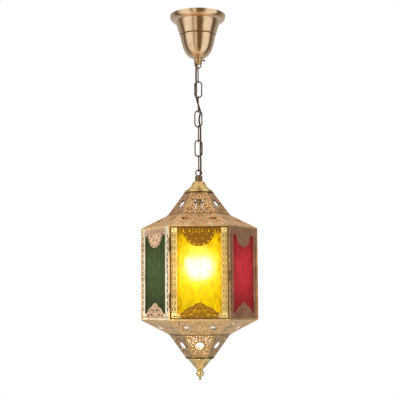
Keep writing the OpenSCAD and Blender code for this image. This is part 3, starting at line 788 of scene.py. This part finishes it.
# Painted light and shade: each tier's brass is one metal, a lighter copy for the tier next to the body
# and a darker copy for the outer tier
LIT_LOWER_ROOF = brass("lit_lower_roof_brass", (0.86, 0.54, 0.25), (0.67, 0.38, 0.16), (0.32, 0.15, 0.05), 0.38,
                   inner=ROOF_INSIDE_SHADE)
SHADED_UPPER_ROOF = brass("shaded_upper_roof_brass", (0.70, 0.43, 0.20), (0.54, 0.29, 0.125), (0.24, 0.11, 0.04), 0.38,
                   inner=ROOF_INSIDE_SHADE)
LIT_UPPER_BASE = brass("lit_upper_base_brass", (0.90, 0.66, 0.36), (0.72, 0.50, 0.26), (0.34, 0.20, 0.09), 0.38,
                   inner=BASE_INSIDE_SHADE)
SHADED_LOWER_BASE = brass("shaded_lower_base_brass", (0.62, 0.46, 0.25), (0.46, 0.32, 0.16), (0.20, 0.12, 0.05), 0.38,
                   inner=BASE_INSIDE_SHADE)
GOLD = brass("gold_brass", (0.86, 0.64, 0.28), (0.78, 0.53, 0.21), (0.50, 0.30, 0.10), 0.26, worn=0.35)
FINIAL = brass("finial_brass", (0.88, 0.76, 0.38), (0.76, 0.61, 0.29), (0.40, 0.28, 0.12), 0.24,
               worn=0.35)
ANTIQUE = brass("antique_brass", (0.84, 0.65, 0.44), (0.78, 0.57, 0.37), (0.66, 0.45, 0.28), 0.17,
                grain=(60, 60, 1400), worn=0.1, relief=0.03, groove=SEAM_Z)
AGED = brass("aged_brass", (0.62, 0.44, 0.24), (0.42, 0.28, 0.14), (0.18, 0.11, 0.05), 0.22)
BRONZE = brass("dark_bronze", (0.27, 0.18, 0.10), (0.15, 0.095, 0.05), (0.06, 0.04, 0.022), 0.30,
               worn=0.3)
# A near-black bronze that stands for shade: painted shade on the plates, the door frame, the knuckles,
# the latch and the beads where tiers meet
SHADOW = brass("shadow_bronze", (0.20, 0.12, 0.05), (0.13, 0.075, 0.03), (0.06, 0.035, 0.015), 0.45,
               worn=0.2)
STEEL = simple_surface("zinc_steel", (0.70, 0.71, 0.72), (0.50, 0.51, 0.53), 0.32, metallic=1.0)
WHITE_PLASTIC = simple_surface("white_plastic", (0.90, 0.90, 0.88), (0.84, 0.84, 0.81), 0.45)
IVORY_PLASTIC = simple_surface("ivory_plastic", (0.84, 0.78, 0.64), (0.76, 0.69, 0.54), 0.42)
PORCELAIN = simple_surface("porcelain", (0.93, 0.92, 0.88), (0.88, 0.86, 0.80), 0.14)
BULB_METAL = simple_surface("bulb_metal", (0.78, 0.78, 0.80), (0.60, 0.60, 0.62), 0.22, metallic=1.0)
BULB = lit_bulb("lit_opal_glass")
CORD = braided_sleeve("braided_cord", (0.10, 0.06, 0.035), (0.025, 0.015, 0.009))
AMBER = hammered_glass("amber_glass", (1.0, 1.0, 0.95), (0.96, 0.775, 0.009), 0.20, 0.44)
GREEN = hammered_glass("green_glass", (0.16, 0.36, 0.18), (0.15, 0.18, 0.11), 0.2, 0.3)
RED = hammered_glass("red_glass", (0.85, 0.10, 0.20), (0.40, 0.095, 0.11), 0.2, 0.35)

TINTS = {"right_front": (RED, "red_glass"), "right_back": (AMBER, "amber_glass"),
         "back": (GREEN, "green_glass"), "left_back": (RED, "red_glass"),
         "left_front": (GREEN, "green_glass")}

PAINT = {
    STEEL: ["mounting_strap", "nipple_yoke", "nipple_nuts", "stem_nuts", "finial_nut", "hinge_pins"],
    WHITE_PLASTIC: ["terminal_block"],
    IVORY_PLASTIC: ["lamp_holder"],
    PORCELAIN: ["lamp_insulator"],
    BULB_METAL: ["bulb_cap"],
    BULB: ["bulb_glass"],
    ANTIQUE: ["ceiling_canopy"],
    AGED: ["canopy_loop", "corner_posts"],
    BRONZE: ["lock_screw", "hanging_loop"]
    + [f"chain_link_{k}" for k in range(1, 8)],
    GOLD: ["canopy_nipple", "stem_tube", "cap_cone", "top_rails", "bottom_rails",
           "glass_clips", "lamp_screw_shell", "door_glass_clips"],
    FINIAL: ["bottom_cone", "finial_ball"],
    # Painted shade: these parts take the near-black bronze
    SHADOW: ["top_plate", "bottom_plate", "door_frame", "door_knuckles", "post_knuckles",
             "latch_screw", "latch_stud", "latch_hook"],
}


def paint_cad_nodes():
    """The nodes that keep their CAD mesh get their materials."""
    for material, names in PAINT.items():
        for name in names:
            mesh = NODES[name].data
            mesh.materials.clear()
            mesh.materials.append(material)


# ---------------------------------------------------------------- pieces

def fret_panels():
    """The pierced wall panels: five fixed ones and the door's."""
    # Painted light and shade: the panel left of the door is a lighter copy of the wall brass, the one
    # right of it a darker, redder copy
    side_lighting = {"left_front": LIT_SIDE_BRASS, "right_front": SHADED_SIDE_BRASS}
    wall = fret_lace(PANEL_HALF, PANEL_GAP, BODY_H - PANEL_GAP, FIXED_BOLD).mesh("wall_lace")
    for i, side in enumerate(SIDES, start=1):
        piece = add(f"lace_{side}", moved(wall, side_turn(i) @ on_wall(PANEL_OUT)))
        finish_piece(piece, "lantern", [side_lighting.get(side, PALE)], f"fret_panel_{side}")
    door = fret_lace(DOOR_PANEL_HALF, DOOR_PANEL_GAP, BODY_H - DOOR_PANEL_GAP, 1.0).mesh("door_lace")
    piece = add("lace_door", moved(door, side_turn(0) @ on_wall(DOOR_PANEL_OUT)))
    # The door takes the lighter copy of the brass: painted light
    finish_piece(piece, "door", [LIT_DOOR_BRASS], "door_fret_panel")


def corner(r, z, angle):
    """A corner of a level hexagon."""
    return (r * math.cos(math.radians(angle)), r * math.sin(math.radians(angle)), z)


def hip_beads(low, high, radius=0.7):
    """A thin folded bead along each hip, where two sheets meet."""
    sink = radius * 1.3
    return [rod(corner(low[0] - sink, low[1], 60 * k), corner(high[0] - sink, high[1], 60 * k), radius)
            for k in range(6)]


def kink_beads(edge, radius=0.9):
    """A bead along each side of the hexagon where two tiers meet, painted dark as shade along the fold.
    """
    reach = edge[0]
    return [rod(corner(reach, edge[1], 60 * k), corner(reach, edge[1], 60 * k + 60), radius)
            for k in range(6)]


def tiers():
    """The pierced roof and base, six sheets to a tier, with beads on the hips and painted-shade beads
    along the dark edge.
    """
    roof_foot, base_top = (BODY_R, BODY_TOP), (BODY_R, BODY_BOTTOM)
    # Each tier takes its lighter or darker copy of the brass: painted light and shade
    plans = [
        ("roof_shallow", roof_foot, ROOF_KINK, shallow_lace, False, LIT_LOWER_ROOF, ROOF_KINK),
        ("roof_steep", ROOF_KINK, ROOF_END, steep_lace, False, SHADED_UPPER_ROOF, ROOF_END),
        ("base_shallow", BASE_KINK, base_top, shallow_lace, True, LIT_UPPER_BASE, BASE_KINK),
        ("base_steep", BASE_END, BASE_KINK, steep_lace, True, SHADED_LOWER_BASE, BASE_END),
    ]
    for name, low, high, pattern, wide_up, metal, dark_edge in plans:
        sheet = pattern(low, high, wide_up).mesh(name)
        plates = [moved(sheet, side_turn(i) @ between_edges(low, high)) for i in range(6)]
        piece = joined(f"{name}_lace", plates, hip_beads(low, high), kink_beads(dark_edge))
        finish_piece(piece, "lantern", [metal, GOLD, SHADOW], f"{name}_panels")


def hammered_pane(name, half, low, high, thickness, seed):
    """A flat pane whose two faces carry shallow hammered dimples."""
    step = 1.9
    columns = int(2 * half / step)
    rows = int((high - low) / step)
    depth = 0.22
    vertices, faces = [], []
    for face, sign in ((0.0, 1), (thickness, -1)):
        for j in range(rows + 1):
            for i in range(columns + 1):
                x = -half + 2 * half * i / columns
                y = low + (high - low) * j / rows
                rim = i in (0, columns) or j in (0, rows)
                point = Vector((x * 0.22, y * 0.11, seed + face))
                dent = 0 if rim else depth * (0.5 + 0.5 * noise.noise(point))
                vertices.append((x * MM, y * MM, (face + sign * dent) * MM))
    row = columns + 1
    layer = row * (rows + 1)
    for j in range(rows):
        for i in range(columns):
            a = j * row + i
            faces.append((a, a + row, a + row + 1, a + 1))
            faces.append((layer + a, layer + a + 1, layer + a + row + 1, layer + a + row))
    rim = [i for i in range(row)] + [j * row + columns for j in range(1, rows + 1)]
    rim += [rows * row + i for i in range(columns - 1, -1, -1)]
    rim += [j * row for j in range(rows - 1, 0, -1)]
    for a, b in zip(rim, rim[1:] + rim[:1]):
        faces.append((a, b, layer + b, layer + a))
    mesh = bpy.data.meshes.new(name)
    mesh.from_pydata(vertices, [], faces)
    plane_map(mesh)
    return mesh


def panes():
    """The six coloured panes."""
    for i, side in enumerate(SIDES, start=1):
        material, slot = TINTS[side]
        mesh = hammered_pane(f"pane_{side}", PANE_HALF, PANE_GAP, BODY_H - PANE_GAP, GLASS, 3.7 * i)
        mesh.transform(side_turn(i) @ on_wall(PANEL_OUT - SHEET))
        piece = add(f"pane_{side}", mesh)
        smooth(piece, 60)
        finish_piece(piece, "lantern", [material], f"glass_{side}")
    mesh = hammered_pane("pane_door", DOOR_PANE_HALF, DOOR_PANE_GAP, BODY_H - DOOR_PANE_GAP, GLASS, 0.0)
    mesh.transform(side_turn(0) @ on_wall(DOOR_PANEL_OUT - SHEET))
    piece = add("pane_door", mesh)
    smooth(piece, 60)
    finish_piece(piece, "door", [AMBER], "door_glass")


# ---------------------------------------------------------------- cord

CHAIN_TOP = -118.0
LINK_PITCH = 32.5
CORD_R = 1.9
CANOPY_ROUTE = [(0, 0, -13.2), (0, 0, -18), (2.5, 0, -27), (1, 0, -37), (0, 0, -48), (0, 0, -72),
                (0, 0, -96), (-1, 1.4, -101), (-2.7, 3.7, -106), (-2.7, 3.7, -109.6), (-3.8, 4, -113),
                (-4.2, 4, -116.5)]
CHAIN_WEAVE = [(-4.2, 4), (-4.6, 3.6), (-4.3, 4.1), (-4, 0), (-4.2, -4.2), (0, -4), (4.2, -4.2),
               (1.6, 0), (4.2, 4.2), (4.6, 3.6), (4.3, 4.2), (4, 0), (4.2, -4.2), (4.6, -3.8), (4, -4.2)]
LANTERN_ROUTE = [(3.6, -4, -351), (2.7, -3.7, -354.4), (2.7, -3.7, -358), (1, -1.4, -362.5),
                 (0, 0, -370), (0, 0, -400), (0, 0, -430), (0, 0, -461)]


def smooth_route(points, steps):
    """A smooth curve through given points."""
    route = []
    last = len(points) - 1
    for i in range(last):
        a, b, c, d = (Vector(points[max(0, min(last, i + k))]) for k in (-1, 0, 1, 2))
        for k in range(steps):
            t = k / steps
            route.append(0.5 * (2 * b + (c - a) * t + (2 * a - 5 * b + 4 * c - d) * t * t
                                + (3 * b - a - 3 * c + d) * t * t * t))
    route.append(Vector(points[last]))
    return route


def cord_tube(name, path, radius, sides=14):
    """A closed round tube with its girth and its length in metres as texture coordinates."""
    vertices, faces, uvs = [], [], []
    lengths = [0.0]
    for a, b in zip(path, path[1:]):
        lengths.append(lengths[-1] + (b - a).length * MM)
    last = len(path) - 1
    for i, p in enumerate(path):
        along = (path[min(i + 1, last)] - path[max(i - 1, 0)]).normalized()
        across = along.cross(Vector((0, 1, 0))).normalized()
        other = along.cross(across)
        for k in range(sides):
            t = 2 * math.pi * k / sides
            vertices.append((p + radius * (math.cos(t) * across + math.sin(t) * other)) * MM)
    for i in range(last):
        for k in range(sides):
            j = (k + 1) % sides
            faces.append((i * sides + k, (i + 1) * sides + k, (i + 1) * sides + j, i * sides + j))
            uvs += [(k / sides, lengths[i]), (k / sides, lengths[i + 1]),
                    ((k + 1) / sides, lengths[i + 1]), ((k + 1) / sides, lengths[i])]
    for ring, order in ((0, 1), (last, -1)):
        faces.append([ring * sides + k for k in range(sides)][::order])
        uvs += [(k / sides, lengths[ring]) for k in range(sides)]
    mesh = bpy.data.meshes.new(name)
    mesh.from_pydata(vertices, [], faces)
    layer = mesh.uv_layers.new(name="UVMap")
    for target, uv in zip(layer.data, uvs):
        target.uv = uv
    piece = add(name, mesh)
    smooth(piece, 60)
    return piece


def cord():
    """The cord runs unbroken from the canopy through the links to the lamp holder, in two lengths
    that meet in the middle of the chain, where both follow it."""
    half = len(CHAIN_WEAVE) // 2
    weave = [(x, y, CHAIN_TOP - i * LINK_PITCH / 2) for i, (x, y) in enumerate(CHAIN_WEAVE)]
    joint = smooth_route(CANOPY_ROUTE + weave + LANTERN_ROUTE, 6)
    cut = (len(CANOPY_ROUTE) + half) * 6
    upper = cord_tube("cord_upper", joint[:cut + 1], CORD_R)
    lower = cord_tube("cord_lower", joint[cut:], CORD_R)
    for piece, nodes in ((upper, ["canopy_cord", "chain_cord"]), (lower, ["lantern_cord"])):
        piece.data.materials.append(CORD)
        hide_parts(*nodes)
    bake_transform(upper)
    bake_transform(lower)


# ---------------------------------------------------------------- light, floor and camera

def studio():
    """White to the eye; to metal and glass, a studio with tall soft boxes and dark gaps."""
    world = bpy.data.worlds.new("studio")
    bpy.context.scene.world = world
    world.use_nodes = True
    tree = world.node_tree
    tree.nodes.clear()
    parts = node(tree, "ShaderNodeSeparateXYZ",
                 {"Vector": node(tree, "ShaderNodeTexCoord").outputs["Generated"]})
    flipped = math_node(tree, "MULTIPLY", parts.outputs["Y"], -1.0)
    azimuth = math_node(tree, "ARCTAN2", parts.outputs["X"], flipped)
    share = math_node(tree, "ADD", math_node(tree, "DIVIDE", azimuth, 2 * math.pi), 0.5)
    walls = [
        (-180, (0.56, 0.55, 0.56)), (-140, (0.46, 0.45, 0.46)), (-112, (0.32, 0.30, 0.28)),
        (-103, (0.09, 0.05, 0.03)), (-92, (0.09, 0.05, 0.03)), (-80, (0.92, 0.88, 0.84)),
        (-36, (0.96, 0.92, 0.86)), (-27, (0.20, 0.14, 0.07)), (-22, (0.22, 0.16, 0.08)),
        (-17, (0.98, 0.90, 0.72)), (-11, (0.98, 0.90, 0.72)), (-4, (0.14, 0.08, 0.03)),
        (27, (0.14, 0.08, 0.03)), (37, (0.96, 0.92, 0.86)), (80, (0.92, 0.88, 0.84)),
        (90, (0.10, 0.06, 0.03)), (104, (0.10, 0.06, 0.03)), (116, (0.32, 0.30, 0.28)),
        (140, (0.46, 0.45, 0.44)), (180, (0.56, 0.55, 0.56)),
    ]
    ring = ramp(tree, share, [((a + 180) / 360, color) for a, color in walls])
    height = node(tree, "ShaderNodeMapRange",
                  {"Value": parts.outputs["Z"], "From Min": -1.0, "From Max": 1.0})
    vault = ramp(tree, height.outputs[0], [(0.0, grey(1.0)), (0.04, grey(1.0)), (0.11, grey(0.0)),
                                           (0.80, grey(0.0)), (0.92, grey(1.0))])
    ends = ramp(tree, height.outputs[0], [(0.3, (0.80, 0.59, 0.44)), (0.6, (0.85, 0.80, 0.74))])
    room = mix(tree, vault, ring, ends)
    lit = node(tree, "ShaderNodeBackground", {"Color": room, "Strength": 1.2})
    plain = node(tree, "ShaderNodeBackground", {"Color": (1, 1, 1, 1), "Strength": 1.0})
    seen = node(tree, "ShaderNodeLightPath").outputs["Is Camera Ray"]
    both = node(tree, "ShaderNodeMixShader", {0: seen, 1: lit.outputs[0], 2: plain.outputs[0]})
    out = node(tree, "ShaderNodeOutputWorld")
    tree.links.new(both.outputs[0], out.inputs["Surface"])


def floor():
    """A round pale floor well under the lamp."""
    radius, z = 9.8, -1.9
    rim = [(x, y, z) for x, y in disc(0, 0, radius, 64)]
    mesh = bpy.data.meshes.new("floor")
    mesh.from_pydata(rim, [], [list(range(len(rim)))])
    piece = add("floor", mesh)
    paint = simple_surface("pale_floor", (0.93, 0.93, 0.92), (0.90, 0.90, 0.89), 0.7, scale=6.0)
    mesh.materials.append(paint)
    piece.visible_glossy = False


def area_light(name, place, target, size, power, color):
    light = bpy.data.lights.new(name, "AREA")
    light.shape = "DISK"
    light.size = size
    light.energy = power
    light.color = color
    holder = bpy.data.objects.new(name, light)
    bpy.context.scene.collection.objects.link(holder)
    holder.location = place
    holder.rotation_euler = (Vector(target) - Vector(place)).to_track_quat("-Z", "Y").to_euler()
    holder.visible_camera = False
    return holder


def lights(canopy):
    """A warm soft box in front of the body and a cool one at its left, both flagged off the canopy,
    and one overhead that whitens the floor."""
    middle = (0, 0, -0.56)
    front = area_light("front_soft_box", (-0.45, -2.1, -0.66), middle, 0.5, 7.5, (1.0, 0.86, 0.64))
    left = area_light("left_soft_box", (-1.73, 1.0, -0.56), middle, 0.8, 2.2, (1.0, 0.97, 0.88))
    flag = bpy.data.collections.new("flagged_off")
    flag.objects.link(canopy)
    flag.collection_objects[0].light_linking.link_state = "EXCLUDE"
    for box in (front, left):
        box.light_linking.receiver_collection = flag
    overhead = area_light("floor_light", (0, 0, 2.0), (0, 0, -1.9), 4.0, 110, (0.96, 0.98, 1.0))
    overhead.visible_glossy = False


def camera():
    """Level with the lower part of the body, tilted up to take in the canopy."""
    data = bpy.data.cameras.new("camera")
    data.lens = 86.8
    data.sensor_width = 36.0
    holder = bpy.data.objects.new("camera", data)
    bpy.context.scene.collection.objects.link(holder)
    distance, height, aside = 2.069, -0.6254, 0.0024
    pitch, roll = math.radians(6.01), -0.0067
    turn = Matrix.Rotation(math.pi / 2 + pitch, 4, "X") @ Matrix.Rotation(roll, 4, "Z")
    holder.matrix_world = Matrix.Translation((aside, -distance, height)) @ turn
    bpy.context.scene.camera = holder


camera()
paint_cad_nodes()
cord()
fret_panels()
tiers()
panes()
studio()
floor()
lights(NODES["ceiling_canopy"])
scene = bpy.context.scene
scene.view_settings.view_transform = "Standard"
scene.cycles.use_denoising = True
